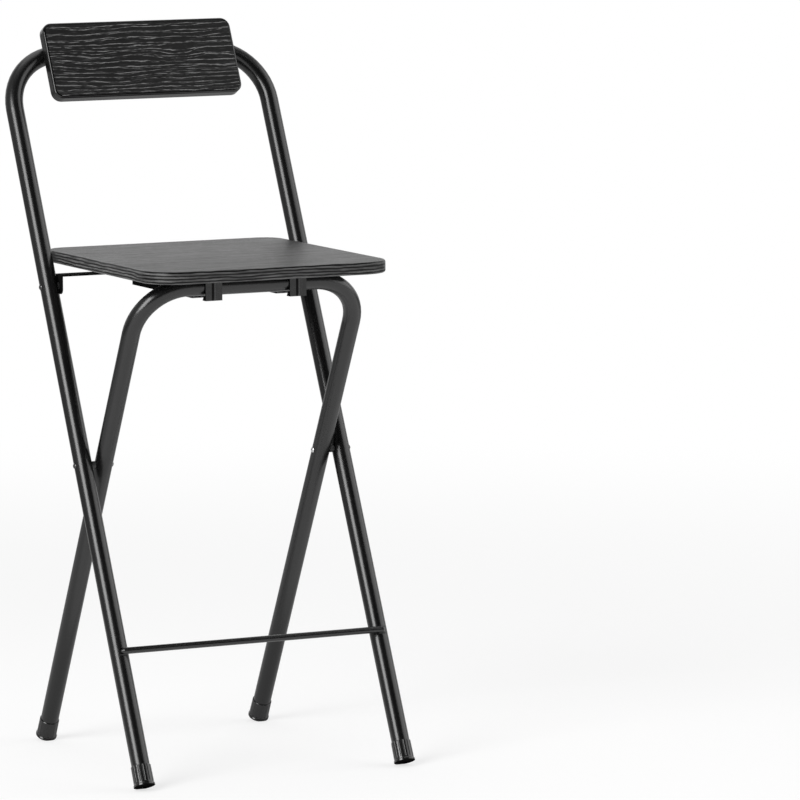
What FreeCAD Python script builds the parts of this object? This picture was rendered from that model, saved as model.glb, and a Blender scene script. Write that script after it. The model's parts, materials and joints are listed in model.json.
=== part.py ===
import FreeCAD, Part
import math
import os

# Folding bar stool: two bent tube frames that cross like scissors, a flat seat and a low backrest.
# Millimetres, +Z up, the front of the stool faces -Y, +X is to the right seen from the front.
# The origin is on the floor, in the middle of the stool's outline seen from above.

# Tubes
tube_d = 22.0              # outer diameter of both frames' tube
tube_wall = 1.2

# Long frame: backrest at its top, front feet at its bottom
long_spacing = 342.0       # between the centres of its two legs
long_tilt = 25.8           # degrees from upright, leaning back
long_leg = 401.3           # from the leg pivot down to the sole of the foot cap
long_top = 531.0           # from the leg pivot up to the centre of the top bar
long_bend = 70.0           # centreline radius of its two bends

# Short frame: top bar under the seat, rear feet at its bottom
leg_gap = 4.5              # between the long frame's leg and the short frame's leg
short_tilt = 27.8          # degrees from upright, leaning forward
short_bend = 62.0

# Foot caps
cap_length = 25.0
cap_wall = 1.0
cap_flare = 1.0            # how far the sole stands out past the sleeve
cap_taper = 0.3            # how much wider the sleeve is at its foot than at its top
cap_sole = 4.0             # rubber under the tube's end
cap_edge = 2.0             # height of the sole's outer edge
cap_flare_rise = 0.9       # from that edge up to the sleeve
cap_rim = 0.5              # chamfer round the top of the sleeve
cap_rib_count = 14
cap_groove_depth = 0.5
cap_groove_radius = 1.4
cap_groove_start = 0.5     # above the sole
floor_flat = 0.5           # worn flat where the sole's edge meets the floor

# Footrest
footrest_d = 8.0
footrest_rise = 163.5      # from the sole up along the long frame
footrest_overlap = 2.7     # past the centre of each leg
footrest_press = 1.5       # how deep the tube's shape is pressed into the rod
footrest_end_chamfer = 2.8
weld_radius = 1.6
weld_length = 9.0
weld_round = 1.0
weld_angle = 52.0          # degrees round the rod, from its back towards its top

# Backrest board
back_width = 251.5
back_height = 99.4
back_thick = 15.0
back_drop = 67.6           # from the centre of the top bar down to its lower edge
back_corner = 12.0
back_screw_x = 75.0

# Boards' edge bands
band_thick = 3.0
band_round = 2.6

# Seat
seat_overhang = 1.0        # past the outside of the short frame, on each side
seat_depth = 347.7
seat_thick = 15.0
seat_over_bar = 11.79      # from the top of the cross bar up to its underside
seat_reach = 190.0         # front edge ahead of the leg pivot
seat_front_corner = 40.0
seat_rear_corner = 28.0

# Seat hinge on the long frame
hinge_up = 229.2           # from the leg pivot up the long frame
cross_bar_half = 11.0      # half its width from front to back
cross_bar_rise = 14.6      # from the hinge axis up to the top of the cross bar
cross_bar_bend = 1.8       # outer radius where an ear turns down
ear_drop = 9.0             # from the hinge axis down to the end of an ear
ear_corner = 6.5
ear_thick = 2.0
ear_gap = 0.15             # play on each side of an ear
hinge_washer = 0.8

# Guides that the short frame's top bar slides in
guide_x = 55.0             # from the middle of the seat to the middle of a guide
guide_width = 21.5
guide_sheet = 1.6
guide_drop = 27.8          # from the seat's underside to the guide's lowest face
guide_lip = 5.0            # height of its two side lips
guide_front_tab = 22.0
guide_rear_tab = 36.0
bead_radius = 2.2
bead_height = 1.1
bar_gap = 0.3              # between the top bar and what it rests against
exit_gap = 0.6             # round the top bar where it leaves the guide
exit_step = 2.0            # degrees of fold between two stages of its way out
exit_steps = 6

# Fold, from open to closed
fold_rest_angle = 5.3      # degrees left between the two frames when folded
seat_rest_angle = 18.3     # degrees left between the seat and the long frame when folded

# Rivets and screws
rivet_d = 5.0
rivet_head_d = 7.2
rivet_head_height = 1.9
hinge_inner_head_height = 1.5
rivet_play = 0.05          # radial play where a rivet turns in its hole
pivot_spacer_d = 9.0
pivot_spacer_play = 0.3
hinge_washer_d = 11.0
screw_d = 4.0
screw_head_d = 8.5
screw_head_height = 2.4
screw_bite = 10.0          # how deep a screw goes into its board
recess_width = 1.1
recess_depth = 1.2

TINY = 0.001               # edges shorter than this along an axis lie across it

# Values that follow from the ones above
tube_r = tube_d / 2
rivet_r = rivet_d / 2
long_half = long_spacing / 2
short_half = long_half - tube_d - leg_gap
cap_r = tube_r + cap_wall
sole_r = cap_r + cap_flare
pivot_height = (long_leg * math.cos(math.radians(long_tilt))
                + sole_r * math.sin(math.radians(long_tilt)) - floor_flat)
short_leg = ((pivot_height + floor_flat - sole_r * math.sin(math.radians(short_tilt)))
             / math.cos(math.radians(short_tilt)))
hinge_y = hinge_up * math.sin(math.radians(long_tilt))
hinge_z = pivot_height + hinge_up * math.cos(math.radians(long_tilt))
cross_bar_top = hinge_z + cross_bar_rise
seat_under = cross_bar_top + seat_over_bar
seat_width = 2 * (short_half + tube_r + seat_overhang)
bar_z = seat_under - bar_gap - tube_r
short_top = (bar_z - pivot_height) / math.cos(math.radians(short_tilt))
bar_y = -short_top * math.sin(math.radians(short_tilt))
back_low = long_top - back_drop
footrest_drop = long_leg - footrest_rise
fold_end = long_tilt + short_tilt - fold_rest_angle
seat_end = 90 + long_tilt - seat_rest_angle
long_inner = long_half - tube_r
ear_outer = long_inner - hinge_washer - ear_gap
ear_inner = ear_outer - ear_thick


def vector(x, y, z):
    return FreeCAD.Vector(x, y, z)


AXIS_X = vector(1, 0, 0)
AXIS_Y = vector(0, 1, 0)
AXIS_Z = vector(0, 0, 1)


def box(low, high):
    """A box between two corners, each an (x, y, z)."""
    size = [b - a for a, b in zip(low, high)]
    return Part.makeBox(size[0], size[1], size[2], vector(*low))


def rod_x(radius, x0, x1, y, z):
    """A round bar along X."""
    return Part.makeCylinder(radius, x1 - x0, vector(x0, y, z), AXIS_X)


def mirrored(shape, side):
    """The shape itself on the right (side 1), its mirror image on the left (side -1)."""
    if side > 0:
        return shape
    return shape.mirror(vector(0, 0, 0), AXIS_X)


def stand_long(shape):
    """Tilt a piece drawn along an upright long frame, whose leg pivot is at (0, 0)."""
    placed = shape.copy()
    placed.rotate(vector(0, 0, 0), AXIS_X, -long_tilt)
    placed.translate(vector(0, 0, pivot_height))
    return placed


def stand_short(shape):
    """Tilt a piece drawn along an upright short frame, whose leg pivot is at (0, 0)."""
    placed = shape.copy()
    placed.rotate(vector(0, 0, 0), AXIS_X, short_tilt)
    placed.translate(vector(0, 0, pivot_height))
    return placed


def revolved(points):
    """A solid turned about Z from (radius, z) points."""
    corners = [vector(r, 0, z) for r, z in points]
    face = Part.Face(Part.makePolygon(corners + corners[:1]))
    return face.revolve(vector(0, 0, 0), AXIS_Z, 360)


def dome(radius, height):
    """A round rivet head that stands on z = 0."""
    ball = (radius ** 2 + height ** 2) / (2 * height)
    half_turn = math.asin(radius / ball) / 2
    middle = vector(ball * math.sin(half_turn), 0, height - ball + ball * math.cos(half_turn))
    edges = [
        Part.LineSegment(vector(0, 0, 0), vector(radius, 0, 0)).toShape(),
        Part.Arc(vector(radius, 0, 0), middle, vector(0, 0, height)).toShape(),
        Part.LineSegment(vector(0, 0, height), vector(0, 0, 0)).toShape(),
    ]
    return Part.Face(Part.Wire(edges)).revolve(vector(0, 0, 0), AXIS_Z, 360)


def along_x(shape, x, y, z, outward):
    """Turn a piece drawn on Z to point along +X (outward 1) or -X (outward -1), and move it."""
    turned = shape.copy()
    turned.rotate(vector(0, 0, 0), AXIS_Y, 90 * outward)
    turned.translate(vector(x, y, z))
    return turned


# Bent tubes

def u_path(half, low, top, bend):
    """Centreline of an upside-down U in the XZ plane."""
    shift = bend * (1 - math.sqrt(0.5))
    shoulder = top - bend
    edges = []
    for side in (-1, 1):
        leg = Part.LineSegment(vector(side * half, 0, low), vector(side * half, 0, shoulder))
        arc = Part.Arc(vector(side * half, 0, shoulder),
                       vector(side * (half - shift), 0, top - shift),
                       vector(side * (half - bend), 0, top))
        edges.append([leg.toShape(), arc.toShape()])
    bar = Part.LineSegment(vector(bend - half, 0, top), vector(half - bend, 0, top)).toShape()
    left, right = edges
    return Part.Wire(left + [bar] + right[::-1])


def bent_bar(half, low, top, bend, radius):
    """A solid round bar along the U."""
    ring = Part.Wire([Part.makeCircle(radius, vector(-half, 0, low), AXIS_Z)])
    return u_path(half, low, top, bend).makePipeShell([ring], True, False)


def bent_tube(half, low, top, bend):
    outside = bent_bar(half, low, top, bend, tube_r)
    inside = bent_bar(half, low, top, bend, tube_r - tube_wall)
    return outside.cut(inside)


def frame_hole(half, radius, z):
    """A drill right through both legs of an upright frame."""
    reach = half + tube_d
    return rod_x(radius, -reach, reach, 0, z)


def back_screw_places():
    return [(x, long_top) for x in (-back_screw_x, back_screw_x)]


def long_tube():
    tube = bent_tube(long_half, cap_sole - long_leg, long_top, long_bend)
    drills = [frame_hole(long_half, rivet_r, 0), frame_hole(long_half, rivet_r, hinge_up)]
    for x, z in back_screw_places():
        drills.append(Part.makeCylinder(screw_d / 2, 2 * tube_d, vector(x, -tube_d, z), AXIS_Y))
    return tube.cut(drills)


def short_tube():
    tube = bent_tube(short_half, cap_sole - short_leg, short_top, short_bend)
    return tube.cut(frame_hole(short_half, rivet_r + rivet_play, 0))


def long_leg_bar(side):
    """The outside of one long leg, to shape what is pressed against it."""
    return Part.makeCylinder(tube_r, long_leg + long_top - long_bend,
                             vector(side * long_half, 0, -long_leg), AXIS_Z)


# Foot caps

def foot_cap(x, sole_z):
    """A ribbed rubber sleeve with a flared sole, round a leg at x."""
    foot_r = cap_r + cap_taper
    sleeve = revolved([
        (0, 0), (sole_r, 0), (sole_r, cap_edge), (foot_r, cap_edge + cap_flare_rise),
        (cap_r, cap_length - cap_rim), (cap_r - cap_rim, cap_length),
        (tube_r, cap_length), (tube_r, cap_sole), (0, cap_sole)])
    low_r = foot_r + cap_groove_radius - cap_groove_depth
    high_r = low_r - cap_taper
    grooves = []
    for i in range(cap_rib_count):
        turn = 2 * math.pi * i / cap_rib_count
        c = math.cos(turn)
        s = math.sin(turn)
        start = vector(low_r * c, low_r * s, cap_sole + cap_groove_start)
        end = vector(high_r * c, high_r * s, cap_length + cap_wall)
        axis = end.sub(start)
        grooves.append(Part.makeCylinder(cap_groove_radius, axis.Length, start, axis))
    cap = sleeve.cut(grooves)
    cap.translate(vector(x, 0, sole_z))
    return cap


def on_floor(cap):
    """Cut away what would reach below the floor."""
    reach = 2 * (long_leg + long_spacing)
    below = box((-reach, -reach, -tube_d), (reach, reach, 0))
    return cap.cut(below)


# Footrest

def footrest_centre():
    return -(tube_r + footrest_d / 2 - footrest_press), -footrest_drop


def footrest_rod():
    y, z = footrest_centre()
    end = long_half + footrest_overlap
    rod = rod_x(footrest_d / 2, -end, end, y, z)
    ends = [edge for edge in rod.Edges if edge.BoundBox.XLength < TINY]
    rod = rod.makeChamfer(footrest_end_chamfer, ends)
    return rod.cut([long_leg_bar(-1), long_leg_bar(1)])


def footrest_weld(side):
    """Two beads, over and under the rod, in the notch between it and a leg."""
    y, z = footrest_centre()
    rod = rod_x(footrest_d / 2, -long_half * 2, long_half * 2, y, z)
    bead_y = y + footrest_d / 2 * math.cos(math.radians(weld_angle))
    rise = footrest_d / 2 * math.sin(math.radians(weld_angle))
    mid = side * long_half
    beads = []
    for bead_z in (z - rise, z + rise):
        bead = rod_x(weld_radius, mid - weld_length / 2, mid + weld_length / 2, bead_y, bead_z)
        ends = [edge for edge in bead.Edges if edge.BoundBox.XLength < TINY]
        bead = bead.makeFillet(weld_round, ends)
        beads.append(bead.cut([rod, long_leg_bar(side)]))
    return Part.makeCompound([solid for bead in beads for solid in bead.Solids])


# Boards

def slab(width, length, thick, front_corner, rear_corner):
    """A plate with rounded corners, centred on Z, from z = 0 up. Its front is at -Y."""
    x = width / 2
    y = length / 2
    plate = box((-x, -y, 0), (x, y, thick))
    posts = [edge for edge in plate.Edges if edge.BoundBox.ZLength > thick / 2]
    front = [edge for edge in posts if edge.BoundBox.YMin < 0]
    plate = plate.makeFillet(front_corner, front)
    posts = [edge for edge in plate.Edges if edge.BoundBox.ZLength > thick / 2]
    rear = [edge for edge in posts if edge.BoundBox.YMin > y - TINY]
    return plate.makeFillet(rear_corner, rear)


def board_core(width, length, thick, front_corner, rear_corner):
    inset = 2 * band_thick
    return slab(width - inset, length - inset, thick,
                front_corner - band_thick, rear_corner - band_thick)


def edge_band(width, length, thick, front_corner, rear_corner):
    """The band round a board, with its outer edges rounded."""
    whole = slab(width, length, thick, front_corner, rear_corner)
    rims = [edge for edge in whole.Edges if edge.BoundBox.ZLength < TINY]
    core = board_core(width, length, thick, front_corner, rear_corner)
    return whole.makeFillet(band_round, rims).cut(core)


def back_size():
    return back_width, back_height, back_thick, back_corner, back_corner


def seat_size():
    return seat_width, seat_depth, seat_thick, seat_front_corner, seat_rear_corner


def hang_on_bar(shape):
    """Stand a flat board upright against the front of the long frame's top bar."""
    board = shape.copy()
    board.rotate(vector(0, 0, 0), AXIS_X, 90)
    board.translate(vector(0, -tube_r, back_low + back_height / 2))
    return board


def seat_middle():
    return seat_depth / 2 - seat_reach


def under_sitter(shape):
    """Lay a flat board in the seat's place."""
    board = shape.copy()
    board.translate(vector(0, seat_middle(), seat_under))
    return board


# Screws

def screw(grip):
    """A pan head screw that points down, its head standing on z = 0, with a cross recess."""
    head = dome(screw_head_d / 2, screw_head_height)
    shank = Part.makeCylinder(screw_d / 2, grip + screw_bite, vector(0, 0, 0), vector(0, 0, -1))
    arm = screw_head_d / 4
    low = screw_head_height - recess_depth
    high = screw_head_height + 1
    half = recess_width / 2
    slots = [box((-arm, -half, low), (arm, half, high)), box((-half, -arm, low), (half, arm, high))]
    return head.fuse(shank).cut(slots)


def back_screws():
    screws = []
    for x, z in back_screw_places():
        piece = screw(tube_d)
        piece.rotate(vector(0, 0, 0), AXIS_X, -90)
        piece.translate(vector(x, tube_r, z))
        screws.append(piece)
    return screws


def back_board():
    board = hang_on_bar(board_core(*back_size()))
    return board.cut(back_screws())


def guide_screw_places():
    """Screw centres of one guide, as (x, y)."""
    front = guide_front() - guide_sheet - guide_front_tab / 2
    rear = guide_rear() + guide_rear_tab - guide_front_tab / 2
    return [(guide_x, front), (guide_x, rear)]


def guide_screws(side):
    screws = []
    for x, y in guide_screw_places():
        piece = screw(guide_sheet)
        piece.rotate(vector(0, 0, 0), AXIS_X, 180)
        piece.translate(vector(x, y, seat_under - guide_sheet))
        screws.append(mirrored(piece, side))
    return screws


def seat_board():
    board = under_sitter(board_core(*seat_size()))
    return board.cut(guide_screws(-1) + guide_screws(1))


# Guides under the seat

def guide_front():
    """The y of the front plate's inner face."""
    return bar_y - tube_r - bar_gap


def guide_rear():
    """The y of the rear plate's outer face, where the cross bar meets it."""
    return hinge_y - cross_bar_half


def turned(y, z, centre_y, centre_z, degrees):
    """A side view point turned about a centre, from +Y towards +Z."""
    c = math.cos(math.radians(degrees))
    s = math.sin(math.radians(degrees))
    dy = y - centre_y
    dz = z - centre_z
    return centre_y + c * dy - s * dz, centre_z + s * dy + c * dz


def bar_seen_from_seat(fold):
    """Side view place of the short frame's top bar as the seat sees it, at a fold angle."""
    y, z = turned(bar_y, bar_z, 0, pivot_height, -fold)
    return turned(y, z, hinge_y, hinge_z, fold * seat_end / fold_end)


def exit_way():
    """The space that the top bar needs as it leaves the guide."""
    radius = tube_r + exit_gap
    x = seat_width / 2
    way = []
    for i in range(exit_steps):
        y0, z0 = bar_seen_from_seat(i * exit_step)
        y1, z1 = bar_seen_from_seat((i + 1) * exit_step)
        way.append(rod_x(radius, -x, x, y1, z1))
        length = math.hypot(y1 - y0, z1 - z0)
        link = box((-x, 0, -radius), (x, length, radius))
        link.rotate(vector(0, 0, 0), AXIS_X, math.degrees(math.atan2(z1 - z0, y1 - y0)))
        link.translate(vector(0, y0, z0))
        way.append(link)
    return way


def guide_rail(side):
    """A bent sheet guide: front hook with a bead, then a lipped strap back to the cross bar."""
    x0 = guide_x - guide_width / 2
    x1 = guide_x + guide_width / 2
    low = seat_under - guide_drop
    inner = guide_front()
    outer = inner - guide_sheet
    rear = guide_rear()
    tab_z = seat_under - guide_sheet
    front_tab = box((x0, outer - guide_front_tab, tab_z), (x1, inner, seat_under))
    front_plate = box((x0, outer, low), (x1, inner, seat_under))
    web = box((x0, outer, low), (x1, rear, low + guide_sheet))
    lips = [box((a, outer, low), (a + guide_sheet, rear, low + guide_lip))
            for a in (x0, x1 - guide_sheet)]
    rear_plate = box((x0, rear - guide_sheet, low), (x1, rear, seat_under))
    rear_tab = box((x0, rear - guide_sheet, tab_z), (x1, rear + guide_rear_tab, seat_under))
    bead_low = low + 2 * guide_sheet
    bead_centre = outer + bead_radius - bead_height
    bead = Part.makeCylinder(bead_radius, tab_z - bead_low, vector(guide_x, bead_centre, bead_low), AXIS_Z)
    bead = bead.common(box((x0, outer - bead_height, low), (x1, outer, seat_under)))
    rail = front_tab.fuse([front_plate, web, rear_plate, rear_tab, bead] + lips).removeSplitter()
    return mirrored(rail.cut(exit_way() + guide_screws(1)), side)


# Seat hinge

def cross_bar():
    """A flat strip under the seat with an ear turned down at each end."""
    front = hinge_y - cross_bar_half
    rear = hinge_y + cross_bar_half
    strip = box((-ear_outer, front, cross_bar_top - ear_thick), (ear_outer, rear, cross_bar_top))
    ear = box((ear_inner, front, hinge_z - ear_drop), (ear_outer, rear, cross_bar_top))
    low = [edge for edge in ear.Edges
           if edge.BoundBox.XLength > ear_thick / 2 and edge.BoundBox.ZMax < hinge_z]
    ear = ear.makeFillet(ear_corner, low)
    bar = strip.fuse([ear, mirrored(ear, -1)]).removeSplitter()
    bends = [edge for edge in bar.Edges
             if edge.BoundBox.XLength < TINY and edge.BoundBox.ZLength < TINY
             and edge.BoundBox.ZMin > cross_bar_top - TINY
             and abs(edge.BoundBox.XMin) > ear_outer - TINY]
    bar = bar.makeFillet(cross_bar_bend, bends)
    return bar.cut(rod_x(rivet_r + rivet_play, -long_half, long_half, hinge_y, hinge_z))


def saddled(shape):
    """Cut a piece on the right to the shape of the long leg that it is pressed against."""
    return shape.cut(long_leg_bar(1))


def outer_head(z):
    """A rivet head outside the right long leg."""
    seat = long_half + math.sqrt(tube_r ** 2 - (rivet_head_d / 2) ** 2)
    skirt = rod_x(rivet_head_d / 2, seat, long_half + tube_r, 0, z)
    head = along_x(dome(rivet_head_d / 2, rivet_head_height), long_half + tube_r, 0, z, 1)
    return saddled(skirt.fuse(head))


def pivot_rivet():
    """Right leg pivot: through the long leg, the spacer and the short leg."""
    inner = short_half - tube_r - pivot_spacer_play
    shank = rod_x(rivet_r, inner, long_half + tube_r, 0, 0)
    head = along_x(dome(rivet_head_d / 2, rivet_head_height), inner, 0, 0, -1)
    return shank.fuse([head, outer_head(0)]).removeSplitter()


def pivot_spacer():
    """Right spacer bush, pressed against the long leg and just clear of the short one."""
    start = short_half + tube_r + pivot_spacer_play
    bush = rod_x(pivot_spacer_d / 2, start, long_half, 0, 0)
    return saddled(bush).cut(rod_x(rivet_r, start - 1, long_half, 0, 0))


def hinge_rivet():
    """Right seat hinge rivet: through the long leg, the washer and the cross bar's ear."""
    inner = ear_inner - ear_gap
    shank = rod_x(rivet_r, inner, long_half + tube_r, 0, hinge_up)
    head = along_x(dome(rivet_head_d / 2, hinge_inner_head_height), inner, 0, hinge_up, -1)
    return shank.fuse([head, outer_head(hinge_up)]).removeSplitter()


def hinge_spacer():
    """Right hinge washer, saddled on the long leg."""
    start = long_inner - hinge_washer
    ring = rod_x(hinge_washer_d / 2, start, long_half, 0, hinge_up)
    return saddled(ring).cut(rod_x(rivet_r, start - 1, long_half, 0, hinge_up))


def stool():
    """Every piece in its place, by node name."""
    pieces = {
        "long_frame_tube": stand_long(long_tube()),
        "footrest_rod": stand_long(footrest_rod()),
        "backrest_board": stand_long(back_board()),
        "backrest_edge_band": stand_long(hang_on_bar(edge_band(*back_size()))),
        "backrest_screws": stand_long(Part.makeCompound(back_screws())),
        "short_frame_tube": stand_short(short_tube()),
        "seat_board": seat_board(),
        "seat_edge_band": under_sitter(edge_band(*seat_size())),
        "hinge_cross_bar": cross_bar(),
        "guide_screws": Part.makeCompound(guide_screws(-1) + guide_screws(1)),
    }
    for side, word in ((-1, "left"), (1, "right")):
        front_cap = foot_cap(side * long_half, -long_leg)
        rear_cap = foot_cap(side * short_half, -short_leg)
        pieces["front_foot_" + word] = on_floor(stand_long(front_cap))
        pieces["rear_foot_" + word] = on_floor(stand_short(rear_cap))
        pieces["footrest_weld_" + word] = stand_long(footrest_weld(side))
        pieces["pivot_rivet_" + word] = stand_long(mirrored(pivot_rivet(), side))
        pieces["pivot_spacer_" + word] = stand_long(mirrored(pivot_spacer(), side))
        pieces["hinge_rivet_" + word] = stand_long(mirrored(hinge_rivet(), side))
        pieces["hinge_washer_" + word] = stand_long(mirrored(hinge_spacer(), side))
        pieces["guide_rail_" + word] = guide_rail(side)
    return pieces


def centre_shift(pieces):
    """How far to move the stool along Y so that its outline is centred on the origin."""
    low = min(shape.BoundBox.YMin for shape in pieces.values())
    high = max(shape.BoundBox.YMax for shape in pieces.values())
    return -(low + high) / 2


def main():
    os.makedirs("parts", exist_ok=True)
    pieces = stool()
    shift = centre_shift(pieces)
    for name, shape in pieces.items():
        shape.translate(vector(0, shift, 0))
        shape.exportStep("parts/" + name + ".step")
        print(name, "solids", len(shape.Solids), "volume", round(shape.Volume, 1))
    print("leg pivot y", round(shift, 4), "z", round(pivot_height, 4))
    print("seat hinge y", round(hinge_y + shift, 4), "z", round(hinge_z, 4))
    print("fold range", fold_end, "seat range", seat_end, "seat per fold", round(seat_end / fold_end, 6))


main()
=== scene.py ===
"""The folding bar stool's looks: materials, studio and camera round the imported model."""

import json
import math

import bpy
from mathutils import Matrix, Vector


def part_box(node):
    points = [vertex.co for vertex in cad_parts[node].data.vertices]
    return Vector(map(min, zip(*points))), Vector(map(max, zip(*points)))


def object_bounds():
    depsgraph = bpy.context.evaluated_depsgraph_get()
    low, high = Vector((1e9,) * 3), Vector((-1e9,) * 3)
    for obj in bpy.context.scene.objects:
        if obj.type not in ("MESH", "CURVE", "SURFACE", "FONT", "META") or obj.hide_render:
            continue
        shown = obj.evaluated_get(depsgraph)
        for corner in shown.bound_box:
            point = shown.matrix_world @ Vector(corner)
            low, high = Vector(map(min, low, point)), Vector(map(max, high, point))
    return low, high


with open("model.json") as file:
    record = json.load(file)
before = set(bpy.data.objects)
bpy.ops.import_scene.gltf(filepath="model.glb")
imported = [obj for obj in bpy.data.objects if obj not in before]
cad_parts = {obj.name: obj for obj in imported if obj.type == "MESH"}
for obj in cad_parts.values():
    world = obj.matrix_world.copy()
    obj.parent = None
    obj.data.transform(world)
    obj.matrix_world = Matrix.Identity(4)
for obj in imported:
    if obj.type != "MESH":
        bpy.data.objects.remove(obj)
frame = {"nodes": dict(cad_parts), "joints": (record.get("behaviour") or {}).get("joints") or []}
cad_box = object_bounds()

MM = 0.001

# The camera that the photograph was taken with, found from the stool's own points.
CAMERA_AZIMUTH = -26.0
CAMERA_ELEVATION = 7.0844
CAMERA_ROLL = -0.2965
CAMERA_LENS = 262.66
CAMERA_DISTANCE = 7.0682
CAMERA_AIM_HEIGHT = 0.45
CAMERA_RIGHT = 0.2270
CAMERA_UP = -0.0143
CAMERA_REACH = 200.0

# The specular level of an ordinary surface, and how much paint and moulded rubber refract.
PLAIN_SPECULAR = 0.5
GLOSSY_IOR = 1.6

# A smooth noise lies mostly between these.
NOISE_LOW = 0.3
NOISE_HIGH = 0.7

joint_at = {joint["name"]: Vector(joint["pos_m"]) for joint in frame["joints"]}
leg_pivot = joint_at["leg_fold"]
seat_hinge = joint_at["seat_fold"]

# Both joints lie on the long frame's legs, so they show how far it leans back.
LONG_TILT = math.atan2(seat_hinge.y - leg_pivot.y, seat_hinge.z - leg_pivot.z)

# A turn about X that lays the backrest down, so that Y runs up the board and Z out of it.
BACK_LEAN = LONG_TILT - math.pi / 2
BACK_TURN = (BACK_LEAN, 0.0, 0.0)
NO_TURN = (0.0, 0.0, 0.0)


def middle_of(node):
    """The middle of a node's box."""
    low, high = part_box(node)
    return (low + high) / 2


def way_to(azimuth, elevation):
    """The direction from the stool to what stands at that azimuth and elevation, in degrees."""
    turn = math.radians(azimuth)
    rise = math.radians(elevation)
    return Vector((math.sin(turn) * math.cos(rise), -math.cos(turn) * math.cos(rise), math.sin(rise)))


def rgba(colour):
    """An opaque colour, from its red, green and blue or from one grey."""
    return (*colour, 1.0) if isinstance(colour, tuple) else (colour, colour, colour, 1.0)


def wire(tree, node, inputs):
    """Sets a node's inputs. Each is a value, or the output socket that feeds it."""
    for socket, value in inputs.items():
        if isinstance(value, bpy.types.NodeSocket):
            tree.links.new(value, node.inputs[socket])
        else:
            node.inputs[socket].default_value = value


def put(tree, kind, inputs=None, **settings):
    """Adds a node with those inputs and settings."""
    node = tree.nodes.new(kind)
    for name, value in settings.items():
        setattr(node, name, value)
    wire(tree, node, inputs or {})
    return node


def calc(tree, operation, *values):
    """One arithmetic step on numbers or sockets."""
    return put(tree, "ShaderNodeMath", dict(enumerate(values)), operation=operation).outputs[0]


def blend(tree, first, second, share):
    """Two values mixed, with that share of the first."""
    rest = calc(tree, "MULTIPLY", second, 1.0 - share)
    return calc(tree, "ADD", calc(tree, "MULTIPLY", first, share), rest)


def waver(tree, wave, reach):
    """A noise made into a distance to either side of nought."""
    return calc(tree, "MULTIPLY", calc(tree, "SUBTRACT", wave, 0.5), reach)


def ranged(tree, value, low, high, to_low=0.0, to_high=1.0, smooth=True):
    """A value carried from one range to another and held there."""
    kind = "SMOOTHSTEP" if smooth else "LINEAR"
    steps = {"Value": value, "From Min": low, "From Max": high, "To Min": to_low, "To Max": to_high}
    return put(tree, "ShaderNodeMapRange", steps, interpolation_type=kind).outputs["Result"]


def fading(tree, value, low, high):
    """1 up to low, and falling to 0 at high."""
    return ranged(tree, value, low, high, to_low=1.0, to_high=0.0)


def streak(tree, across, middle, core, edge):
    """1 within core of the middle, and fading to 0 at edge."""
    away = calc(tree, "ABSOLUTE", calc(tree, "SUBTRACT", across, middle))
    return fading(tree, away, core, edge)


def coordinate(tree, kind):
    """A point's place (Object), the way that it faces (Normal), or a ray's way in the world (Generated)."""
    return put(tree, "ShaderNodeTexCoord").outputs[kind]


def component(tree, vector, axis):
    """The X, Y or Z of a vector."""
    return put(tree, "ShaderNodeSeparateXYZ", {0: vector}).outputs[axis]


def turned(tree, place, turn):
    """The place in turned axes."""
    return put(tree, "ShaderNodeMapping", {"Vector": place, "Rotation": turn}).outputs[0]


def scaled(tree, place, factors):
    """The place multiplied along each axis."""
    return put(tree, "ShaderNodeVectorMath", {0: place, 1: factors}, operation="MULTIPLY").outputs[0]


def noise(tree, place, cells, detail=2.0, roughness=0.5):
    """Smooth noise. Its cells per metre are three numbers, one for each axis, or one for all."""
    factors = cells if isinstance(cells, tuple) else (cells, cells, cells)
    inputs = {"Vector": scaled(tree, place, factors), "Scale": 1.0, "Detail": detail, "Roughness": roughness}
    return put(tree, "ShaderNodeTexNoise", inputs).outputs["Fac"]


def shades(tree, value, *stops):
    """A ramp: each stop is a place and a colour or grey."""
    ramp = put(tree, "ShaderNodeValToRGB", {"Fac": value})
    band = ramp.color_ramp
    while len(band.elements) < len(stops):
        band.elements.new(0.5)
    for element, (at, colour) in zip(band.elements, stops):
        element.position = at
        element.color = rgba(colour)
    return ramp.outputs["Color"]


def mottled(tree, cloud, dark, light):
    """A colour that drifts between two with a noise."""
    return shades(tree, cloud, (NOISE_LOW, dark), (NOISE_HIGH, light))


def drifting(tree, cloud, least, most):
    """A number that drifts between two with a noise."""
    return ranged(tree, cloud, NOISE_LOW, NOISE_HIGH, least, most)


def raised(tree, height, depth):
    """The surface's direction where a height of 0 to 1 raises it, in metres of depth."""
    inputs = {"Height": height, "Distance": depth, "Strength": 1.0}
    return put(tree, "ShaderNodeBump", inputs).outputs["Normal"]


def begin(name):
    """A new material, its node tree and the place on the stool."""
    material = bpy.data.materials.new(name)
    material.use_nodes = True
    tree = material.node_tree
    return material, tree, coordinate(tree, "Object")


def cover(tree, inputs):
    """Sets the inputs of a material's surface."""
    wire(tree, tree.nodes["Principled BSDF"], inputs)


# Black paint: its colour, its roughness and the dimples of its orange peel.
PAINT = (0.0045, 0.0045, 0.0046)
PAINT_ROUGHNESS = 0.26
PEEL_SIZE = 1.1 * MM
PEEL_DEPTH = 0.005 * MM

# Its drift and its speckle, in cells per metre, and how much they change its colour and roughness at most.
PAINT_DRIFT = (22.0, 22.0, 9.0)
PAINT_SPECKLE = 420.0
PAINT_DRIFT_SHARE = 0.6
PAINT_COLOUR_CHANGE = 0.2
PAINT_ROUGHNESS_CHANGE = 0.08


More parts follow.
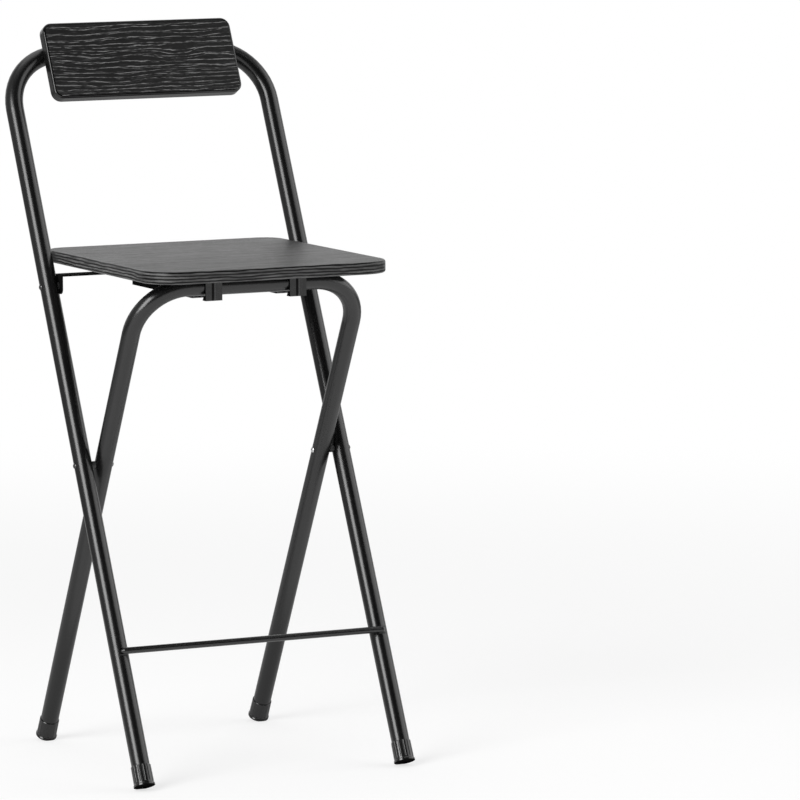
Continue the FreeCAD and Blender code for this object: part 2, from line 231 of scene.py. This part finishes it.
def powder_coat(name):
    """Baked paint: a fine orange peel, with a drift and a speckle of shade and gloss."""
    material, tree, place = begin(name)
    peel = noise(tree, place, 1 / PEEL_SIZE, detail=1.0)
    drift = noise(tree, place, PAINT_DRIFT)
    speckle = noise(tree, place, PAINT_SPECKLE)
    mixed = blend(tree, drift, speckle, PAINT_DRIFT_SHARE)
    dark = tuple((1.0 - PAINT_COLOUR_CHANGE) * part for part in PAINT)
    light = tuple((1.0 + PAINT_COLOUR_CHANGE) * part for part in PAINT)
    smoothest = (1.0 - PAINT_ROUGHNESS_CHANGE) * PAINT_ROUGHNESS
    roughest = (1.0 + PAINT_ROUGHNESS_CHANGE) * PAINT_ROUGHNESS
    cover(tree, {
        "Base Color": mottled(tree, mixed, dark, light),
        "Roughness": ranged(tree, mixed, 0.25, 0.75, to_low=smoothest, to_high=roughest),
        "IOR": GLOSSY_IOR,
        "Normal": raised(tree, peel, PEEL_DEPTH),
    })
    return material


# The laminate's noises, in cells per metre along the grain, across it and through the board.
SLOW_WAVES = (10.0, 26.0, 1.0)
RIPPLES = (75.0, 150.0, 1.0)
SPLITS = (13.0, 55.0, 1.0)
MAIN_DASHES = (55.0, 330.0, 1.0)
SECOND_DASHES = (75.0, 420.0, 1.0)
HAIRS = (45.0, 900.0, 1.0)
SHEEN = (12.0, 80.0, 1.0)

# Between two values of its noise, a faint dash turns full, a row's second line moves away, and a hair shows.
DASH_FILLS = (0.34, 0.6)
DASH_FAINT = 0.2
LINE_SPLITS = (0.32, 0.68)
HAIR_SHOWS = (0.5, 0.72)

# A grain line is full this far from its middle, and gone this far from it.
LINE_CORE = 0.15 * MM
LINE_EDGE = 0.72 * MM

# How far the ripples move the grain, and how deep its lines are.
GRAIN_RIPPLE = 2.4 * MM
GRAIN_DEPTH = 0.1 * MM

# Where the rows begin beside the edge that they are packed to, as a share of the board.
LEAST_SHARE = 0.015

# A row's second line is weaker than its main one, and most so up to the first of these shares of the board.
SECOND_GAINS = (0.1, 0.5)
SECOND_LEAST = 0.45
SECOND_MOST = 0.95


def strand(tree, flat, row, spacing, dashes):
    """Light grain lines, one on each whole row. The spacing in metres keeps them equally thin."""
    away = calc(tree, "MULTIPLY", calc(tree, "PINGPONG", row, 0.5), spacing)
    line = fading(tree, away, LINE_CORE, LINE_EDGE)
    broken = noise(tree, flat, dashes, detail=3.0, roughness=0.6)
    return calc(tree, "MULTIPLY", line, ranged(tree, broken, *DASH_FILLS, to_low=DASH_FAINT))


def grain(tree, flat, low, high, rows, spread, swing, hairs):
    """How light the grain along X is, from 0 to 1, between the places low and high on Y.

    A spread under 1 packs the rows towards low. The swing is how far they wander, in metres. The hairs are
    the short fine lines between the rows, from 0 to 1.
    """
    slow = noise(tree, flat, SLOW_WAVES, detail=1.5)
    ripple = noise(tree, flat, RIPPLES)
    sway = calc(tree, "ADD", waver(tree, slow, swing), waver(tree, ripple, GRAIN_RIPPLE))
    share = ranged(tree, calc(tree, "ADD", component(tree, flat, "Y"), sway), low, high, smooth=False)
    share = calc(tree, "MAXIMUM", share, LEAST_SHARE)
    row = calc(tree, "MULTIPLY", calc(tree, "POWER", share, spread), rows)
    widest = (high - low) / (rows * spread)
    spacing = calc(tree, "MULTIPLY", calc(tree, "POWER", share, 1.0 - spread), widest)
    split = noise(tree, flat, SPLITS, detail=1.0)
    beside = calc(tree, "ADD", row, ranged(tree, split, *LINE_SPLITS, to_high=0.5))
    main = strand(tree, flat, row, spacing, MAIN_DASHES)
    second = strand(tree, flat, beside, spacing, SECOND_DASHES)
    weaker = ranged(tree, share, *SECOND_GAINS, to_low=SECOND_LEAST, to_high=SECOND_MOST)
    second = calc(tree, "MULTIPLY", second, weaker)
    hair = ranged(tree, noise(tree, flat, HAIRS, roughness=0.6), *HAIR_SHOWS, to_high=hairs)
    return calc(tree, "MAXIMUM", calc(tree, "MAXIMUM", main, second), hair)


def board_face(name, turn, specular, **grain_sizes):
    """Black wood laminate. The turn brings the board into the plane of X and Y."""
    material, tree, place = begin(name)
    flat = scaled(tree, turned(tree, place, turn), (1.0, 1.0, 0.0))
    marks = grain(tree, flat, **grain_sizes)
    sheen = noise(tree, flat, SHEEN)
    cover(tree, {
        "Base Color": shades(tree, marks, (0.0, 0.005), (0.2, 0.002), (0.5, 0.06), (1.0, 0.28)),
        "Roughness": calc(tree, "ADD", drifting(tree, sheen, 0.4, 0.47), calc(tree, "MULTIPLY", marks, 0.1)),
        "Specular IOR Level": specular,
        "Normal": raised(tree, calc(tree, "SUBTRACT", 1.0, marks), GRAIN_DEPTH),
    })
    return material


# The edge bands' noises, in cells per metre, the last across the band.
BAND_SWAY = (16.0, 16.0, 60.0)
BAND_STREAKS = (42.0, 42.0, 1100.0)
BAND_PATCHES = (26.0, 26.0, 240.0)

# The dark lines wander by this many layers, and end this far from their middle, in layers.
BAND_WANDER = 1.5
BAND_LINE_ENDS = (0.12, 0.36)

# The share of streaks next to patches, and between which of their values a faint streak turns full.
STREAK_SHARE = 0.55
STREAK_FILLS = (0.34, 0.62)
STREAK_FAINT = 0.3


def edge_band(name, turn, layer, dark, light, ior, gloss):
    """Printed edge band: dark lines and paler streaks along the edge, a layer apart through the board."""
    material, tree, place = begin(name)
    along = turned(tree, place, turn)
    depth = calc(tree, "MULTIPLY", component(tree, along, "Z"), 1 / layer)
    sway = noise(tree, along, BAND_SWAY, detail=3.0, roughness=0.6)
    row = calc(tree, "ADD", depth, calc(tree, "MULTIPLY", sway, BAND_WANDER))
    line = ranged(tree, calc(tree, "PINGPONG", row, 0.5), *BAND_LINE_ENDS)
    streaks = noise(tree, along, BAND_STREAKS, roughness=0.6)
    patches = noise(tree, along, BAND_PATCHES, detail=1.0)
    mixed = blend(tree, streaks, patches, STREAK_SHARE)
    tone = calc(tree, "MULTIPLY", ranged(tree, mixed, *STREAK_FILLS, to_low=STREAK_FAINT), line)
    cover(tree, {
        "Base Color": shades(tree, tone, (0.0, dark), (1.0, light)),
        "Roughness": ranged(tree, tone, 0.0, 1.0, to_low=gloss, to_high=1.25 * gloss),
        "IOR": ior,
        "Normal": raised(tree, tone, 0.02 * MM),
    })
    return material


def shade_dark_steel(name):
    """Sheet steel with nearly no gloss, which keeps it dark as a painted shade under the seat, with faint
    cloudy stains.
    """
    material, tree, place = begin(name)
    cloud = noise(tree, place, 120.0, detail=4.0, roughness=0.6)
    cover(tree, {
        "Base Color": mottled(tree, cloud, 0.004, 0.009),
        "Roughness": drifting(tree, cloud, 0.7, 0.85),
        "Specular IOR Level": 0.05,
        "Normal": raised(tree, cloud, 0.02 * MM),
    })
    return material


# A face is front where its direction's Y is under the first number, and isn't where it is over the second.
FRONT_FACING = (-0.45, -0.3)

# The bead of a guide's plate has a painted highlight right of its middle, a paler colour, and a painted
# shadow left of it, a strip of lower gloss. Each is full up to the first distance from its own middle and
# gone at the second.
CREST_RIGHT = 1.2 * MM
CREST_WIDTH = (0.5 * MM, 1.5 * MM)
CREASE_LEFT = 1.6 * MM
CREASE_WIDTH = (0.7 * MM, 2.0 * MM)
CREASE_DULLS = 0.8


def guide_coat(name, middle):
    """Thinly painted sheet, glossy on the front plate and dull elsewhere as painted shade; its bead has a
    painted highlight and shadow.
    """
    material, tree, place = begin(name)
    cloud = noise(tree, place, 180.0, detail=3.0)
    across = component(tree, place, "X")
    front = fading(tree, component(tree, coordinate(tree, "Normal"), "Y"), *FRONT_FACING)
    crest = streak(tree, across, middle + CREST_RIGHT, *CREST_WIDTH)
    crease = streak(tree, across, middle - CREASE_LEFT, *CREASE_WIDTH)
    # The crest's paler colour on the front plate is a painted highlight.
    shade = blend(tree, cloud, calc(tree, "MULTIPLY", crest, front), 0.2)
    # Left of the bead the crease loses most of its gloss, a painted shadow.
    unshaded = calc(tree, "SUBTRACT", 1.0, calc(tree, "MULTIPLY", crease, CREASE_DULLS))
    # Off the front plate the gloss goes too, a painted shade for the dark faces under the seat.
    gloss = calc(tree, "MULTIPLY", front, unshaded)
    cover(tree, {
        "Base Color": shades(tree, shade, (0.0, 0.004), (0.2, 0.01), (1.0, 0.06)),
        "Roughness": drifting(tree, cloud, 0.25, 0.32),
        "IOR": GLOSSY_IOR,
        "Specular IOR Level": ranged(tree, gloss, 0.0, 1.0, to_high=PLAIN_SPECULAR),
        "Normal": raised(tree, cloud, 0.01 * MM),
    })
    return material


# A face is sole where its direction's Z is under the first number, and isn't where it is over the second.
SOLE_FACING = (-0.85, -0.75)


def rubber(name):
    """Moulded rubber, glossy from the mould on its sides; the sole mirrors nothing, a painted contact shadow.
    """
    material, tree, place = begin(name)
    cloud = noise(tree, place, 60.0, detail=3.0)
    speck = noise(tree, place, 1500.0, detail=1.0)
    upwards = component(tree, coordinate(tree, "Normal"), "Z")
    cover(tree, {
        "Base Color": mottled(tree, cloud, 0.007, 0.012),
        "Roughness": drifting(tree, speck, 0.12, 0.18),
        "IOR": GLOSSY_IOR,
        # The sole loses all its gloss: a painted contact shadow where it meets the floor.
        "Specular IOR Level": ranged(tree, upwards, *SOLE_FACING, to_high=PLAIN_SPECULAR),
        "Normal": raised(tree, speck, 0.003 * MM),
    })
    return material


def steel(name, outer):
    """Zinc-plated steel. The rivet heads that lie further than outer from the stool's middle are darkened."""
    material, tree, place = begin(name)
    cloud = noise(tree, place, 380.0, detail=3.0)
    scratch = noise(tree, place, (200.0, 2600.0, 2600.0), detail=1.0)
    sideways = calc(tree, "ABSOLUTE", component(tree, place, "X"))
    bright = fading(tree, sideways, outer - MM, outer)
    shade = blend(tree, cloud, bright, 0.25)
    cover(tree, {
        "Base Color": shades(tree, shade, (0.05, 0.07), (0.2, 0.12), (0.8, (0.6, 0.605, 0.61)), (0.95, 0.78)),
        "Metallic": 1.0,
        "Roughness": drifting(tree, cloud, 0.2, 0.36),
        "Normal": raised(tree, scratch, 0.01 * MM),
    })
    return material


def nylon(name):
    """Moulded nylon: half dull, with a faint cloudy grain."""
    material, tree, place = begin(name)
    cloud = noise(tree, place, 700.0)
    cover(tree, {
        "Base Color": mottled(tree, cloud, 0.035, 0.055),
        "Roughness": drifting(tree, cloud, 0.38, 0.5),
        "Normal": raised(tree, cloud, 0.02 * MM),
    })
    return material


def backrest_face():
    """The backrest's laminate, whose grain is packed towards its lower edge."""
    low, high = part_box("backrest_board")
    laid_down = Matrix.Rotation(BACK_LEAN, 3, "X")
    up = [(laid_down @ Vector((0.0, y, z))).y for y in (low.y, high.y) for z in (low.z, high.z)]
    return board_face("backrest_laminate", BACK_TURN, specular=0.36, low=min(up), high=max(up),
                      rows=17.0, spread=0.7, swing=16.0 * MM, hairs=0.5)


def seat_face():
    """The seat's laminate, whose grain is even."""
    low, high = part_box("seat_board")
    return board_face("seat_laminate", NO_TURN, specular=PLAIN_SPECULAR, low=low.y, high=high.y,
                      rows=60.0, spread=1.0, swing=30.0 * MM, hairs=0.4)


# The looks by the record's material slots. The outer rivet heads lie outside the long legs' middle, and so
# outside the middle of the front foot caps.
LOOKS = {
    "powder_coat": powder_coat("black_coat"),
    "foot_rubber": rubber("rubber"),
    "bright_steel": steel("zinc_steel", outer=middle_of("front_foot_right").x),
    "black_nylon": nylon("nylon"),
}

# The looks of nodes that differ from their slot's.
NODE_LOOKS = {
    "backrest_board": backrest_face(),
    "seat_board": seat_face(),
    "guide_rail_left": guide_coat("left_guide_coat", middle_of("guide_rail_left").x),
    "guide_rail_right": guide_coat("right_guide_coat", middle_of("guide_rail_right").x),
    # The cross bar under the seat gets the glossless steel, a painted shade.
    "hinge_cross_bar": shade_dark_steel("shade_dark_steel"),
    "backrest_edge_band": edge_band("backrest_band", BACK_TURN, layer=3.4 * MM,
                                    dark=0.004, light=0.014, ior=1.5, gloss=0.15),
    "seat_edge_band": edge_band("seat_band", NO_TURN, layer=3.6 * MM,
                                dark=0.002, light=0.17, ior=1.3, gloss=0.3),
}

for name, node in frame["nodes"].items():
    for slot in node.material_slots:
        slot.material = NODE_LOOKS.get(name) or LOOKS[slot.material.name]


def area_lamp(name, azimuth, elevation, distance, size, radiance):
    """A soft box at that azimuth and elevation, in degrees, which shines at the middle of the stool."""
    light = bpy.data.lights.new(name, "AREA")
    light.shape = "RECTANGLE"
    light.size, light.size_y = size
    light.energy = math.pi * light.size * light.size_y * radiance
    lamp = bpy.data.objects.new(name, light)
    towards = way_to(azimuth, elevation)
    lamp.location = (cad_box[0] + cad_box[1]) / 2 + towards * distance
    lamp.rotation_euler = towards.to_track_quat("Z", "Y").to_euler()
    bpy.context.scene.collection.objects.link(lamp)


area_lamp("key", azimuth=-64.0, elevation=25.0, distance=4.0, size=(2.0, 2.8), radiance=7.2)
area_lamp("fill", azimuth=67.0, elevation=25.0, distance=4.0, size=(4.0, 3.1), radiance=1.6)
area_lamp("top", azimuth=150.0, elevation=72.0, distance=2.4, size=(2.4, 1.6), radiance=0.8)


# The way to the middle of the cyclorama, which the camera sees behind the stool.
BACKGROUND_WAY = -way_to(CAMERA_AZIMUTH, 0.0)

# The cosine away from the cyclorama's middle at its two ends, and where it is full white.
CYCLORAMA_SPREAD = (0.45, 0.95)
CYCLORAMA_END_WHITE = 0.35
CYCLORAMA_LIGHT = 0.8

# How far back a ray goes where the dim room turns to the cyclorama, and how far up where the ceiling begins.
ROOM_EDGE = (-0.35, 0.1)
ROOM_WHITE = 0.1
CEILING_EDGE = (0.86, 0.99)
CEILING_WHITE = 0.5


def cyclorama(tree, way):
    """How white the cyclorama is that way: full behind the stool, greyer towards its two ends."""
    dot = put(tree, "ShaderNodeVectorMath", {0: way, 1: BACKGROUND_WAY}, operation="DOT_PRODUCT")
    return ranged(tree, dot.outputs["Value"], *CYCLORAMA_SPREAD, to_low=CYCLORAMA_END_WHITE)


def studio_world():
    """A white cyclorama behind the stool, and the dim room that the photographer stands in."""
    world = bpy.data.worlds.new("studio")
    bpy.context.scene.world = world
    world.use_nodes = True
    tree = world.node_tree
    direction = coordinate(tree, "Generated")
    room = ranged(tree, component(tree, direction, "Y"), *ROOM_EDGE, to_low=ROOM_WHITE)
    behind = calc(tree, "MULTIPLY", cyclorama(tree, direction), room)
    above = ranged(tree, component(tree, direction, "Z"), *CEILING_EDGE, to_high=CEILING_WHITE)
    studio = calc(tree, "MAXIMUM", behind, above)
    path = put(tree, "ShaderNodeLightPath").outputs
    seen = calc(tree, "MAXIMUM", path["Is Camera Ray"], path["Is Transmission Ray"])
    mirrored = calc(tree, "MULTIPLY", path["Is Glossy Ray"], studio)
    lighting = calc(tree, "MULTIPLY", studio, CYCLORAMA_LIGHT)
    strength = calc(tree, "MAXIMUM", calc(tree, "MAXIMUM", seen, mirrored), lighting)
    wire(tree, tree.nodes["Background"], {"Color": rgba(1.0), "Strength": strength})


def diffuse(tree, grey):
    """A matt surface of that grey."""
    return put(tree, "ShaderNodeBsdfDiffuse", {"Color": rgba(grey)}).outputs[0]


def glow(tree, strength):
    """A white glow."""
    return put(tree, "ShaderNodeEmission", {"Color": rgba(1.0), "Strength": strength}).outputs[0]


def mix(tree, share, first, second):
    """Two surfaces mixed, with that share of the second."""
    return put(tree, "ShaderNodeMixShader", {0: share, 1: first, 2: second}).outputs[0]


# Half the floor's width. The floor turns from lit to plain white between two distances from the stool.
FLOOR_HALF = 60.0
FLOOR_TURNS_WHITE = (0.8, 3.0)

# The floor as it lights the stool, and as it is seen: a grey paint and a glow, which come out white together.
FLOOR_GREY = 0.8
SEEN_FLOOR_GREY = 0.38
FLOOR_GLOW = 0.68

# How bright the floor behind the stool mirrors in it, next to how bright the camera sees that floor.
FLOOR_MIRRORED = 0.5

# How far back a way goes where the floor in front of the stool turns to the floor behind it.
BEHIND = (-0.2, 0.2)


def floor_material():
    """White floor: lit and shadowed round the stool, and plain white further away.

    Where it lights the stool it is plain grey. Where it is seen, straight or mirrored, it is lifted to white.
    """
    material, tree, place = begin("floor_white")
    tree.nodes.remove(tree.nodes["Principled BSDF"])
    way = put(tree, "ShaderNodeVectorMath", {0: place}, operation="NORMALIZE").outputs["Vector"]
    distance = put(tree, "ShaderNodeVectorMath", {0: place}, operation="LENGTH").outputs["Value"]
    back = component(tree, way, "Y")
    path = put(tree, "ShaderNodeLightPath").outputs
    clear = calc(tree, "MAXIMUM", path["Is Camera Ray"], path["Is Transmission Ray"])
    seen = calc(tree, "MAXIMUM", clear, path["Is Glossy Ray"])
    ahead = fading(tree, back, *BEHIND)
    mirrored = ranged(tree, back, *BEHIND, to_low=1.0, to_high=FLOOR_MIRRORED)
    around = calc(tree, "MAXIMUM", cyclorama(tree, way), ahead)
    lifted = calc(tree, "MULTIPLY", calc(tree, "MAXIMUM", clear, mirrored), FLOOR_GLOW)
    paint = diffuse(tree, SEEN_FLOOR_GREY)
    soft = put(tree, "ShaderNodeAddShader", {0: paint, 1: glow(tree, lifted)}).outputs[0]
    near = mix(tree, seen, diffuse(tree, FLOOR_GREY), soft)
    white = glow(tree, calc(tree, "MAXIMUM", clear, calc(tree, "MULTIPLY", around, mirrored)))
    far = calc(tree, "MULTIPLY", ranged(tree, distance, *FLOOR_TURNS_WHITE), seen)
    wire(tree, tree.nodes["Material Output"], {"Surface": mix(tree, far, near, white)})
    return material


def studio_floor():
    """A wide white floor at the stool's feet."""
    edge = FLOOR_HALF
    corners = [(-edge, -edge, 0.0), (edge, -edge, 0.0), (edge, edge, 0.0), (-edge, edge, 0.0)]
    mesh = bpy.data.meshes.new("floor")
    mesh.from_pydata(corners, [], [(0, 1, 2, 3)])
    mesh.materials.append(floor_material())
    floor = bpy.data.objects.new("floor", mesh)
    bpy.context.scene.collection.objects.link(floor)


def photo_camera():
    """The photograph's camera, looking at the aim and then slid sideways."""
    azimuth = math.radians(CAMERA_AZIMUTH)
    roll = math.radians(CAMERA_ROLL)
    back = way_to(CAMERA_AZIMUTH, CAMERA_ELEVATION)
    level = Vector((math.cos(azimuth), math.sin(azimuth), 0.0))
    upright = back.cross(level)
    right = level * math.cos(roll) + upright * math.sin(roll)
    up = upright * math.cos(roll) - level * math.sin(roll)
    data = bpy.data.cameras.new("camera")
    data.lens = CAMERA_LENS
    data.clip_end = CAMERA_REACH
    camera = bpy.data.objects.new("camera", data)
    camera.matrix_world = Matrix((right, up, back)).transposed().to_4x4()
    aim = Vector((0.0, leg_pivot.y, CAMERA_AIM_HEIGHT))
    camera.location = aim + back * CAMERA_DISTANCE + right * CAMERA_RIGHT + up * CAMERA_UP
    bpy.context.scene.collection.objects.link(camera)
    bpy.context.scene.camera = camera


studio_world()
studio_floor()
photo_camera()
bpy.context.scene.view_settings.view_transform = "Standard"
